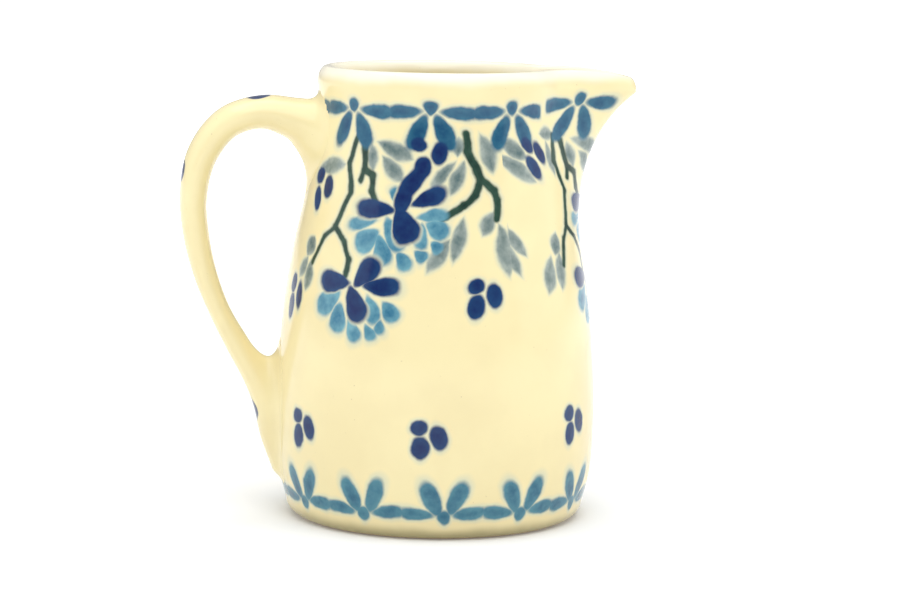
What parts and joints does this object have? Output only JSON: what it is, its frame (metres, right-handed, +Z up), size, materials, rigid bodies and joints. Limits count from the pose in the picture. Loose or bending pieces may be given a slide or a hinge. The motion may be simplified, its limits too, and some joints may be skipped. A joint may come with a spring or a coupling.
{
  "type": "cream jug",
  "caption": "Small glazed stoneware cream jug with a full belly, a pulled pouring spout and a strap handle luted to the wall, stamped with a blue floral pattern.",
  "frame": {"origin": "on the surface it stands on, midway between the handle's back and the spout's tip; the turning axis is 6 mm towards +X", "axes": "+Z up along the turning axis, +X towards the spout, -X towards the handle, +Y to the left when looking along +X"},
  "size_m": [0.0911, 0.064, 0.09],
  "materials": {
    "body_glaze": "gloss glaze, cream, with cobalt and teal underglaze stamps",
    "handle_glaze": "gloss glaze, cream, with cobalt dots",
    "upper_joint_glaze": "gloss glaze over slip",
    "lower_joint_glaze": "gloss glaze over slip"
  },
  "bodies": {
    "root": {"jug_body": "body_glaze", "handle": "handle_glaze", "upper_slip_joint": "upper_joint_glaze", "lower_slip_joint": "lower_joint_glaze"}
  },
  "joints": []
}
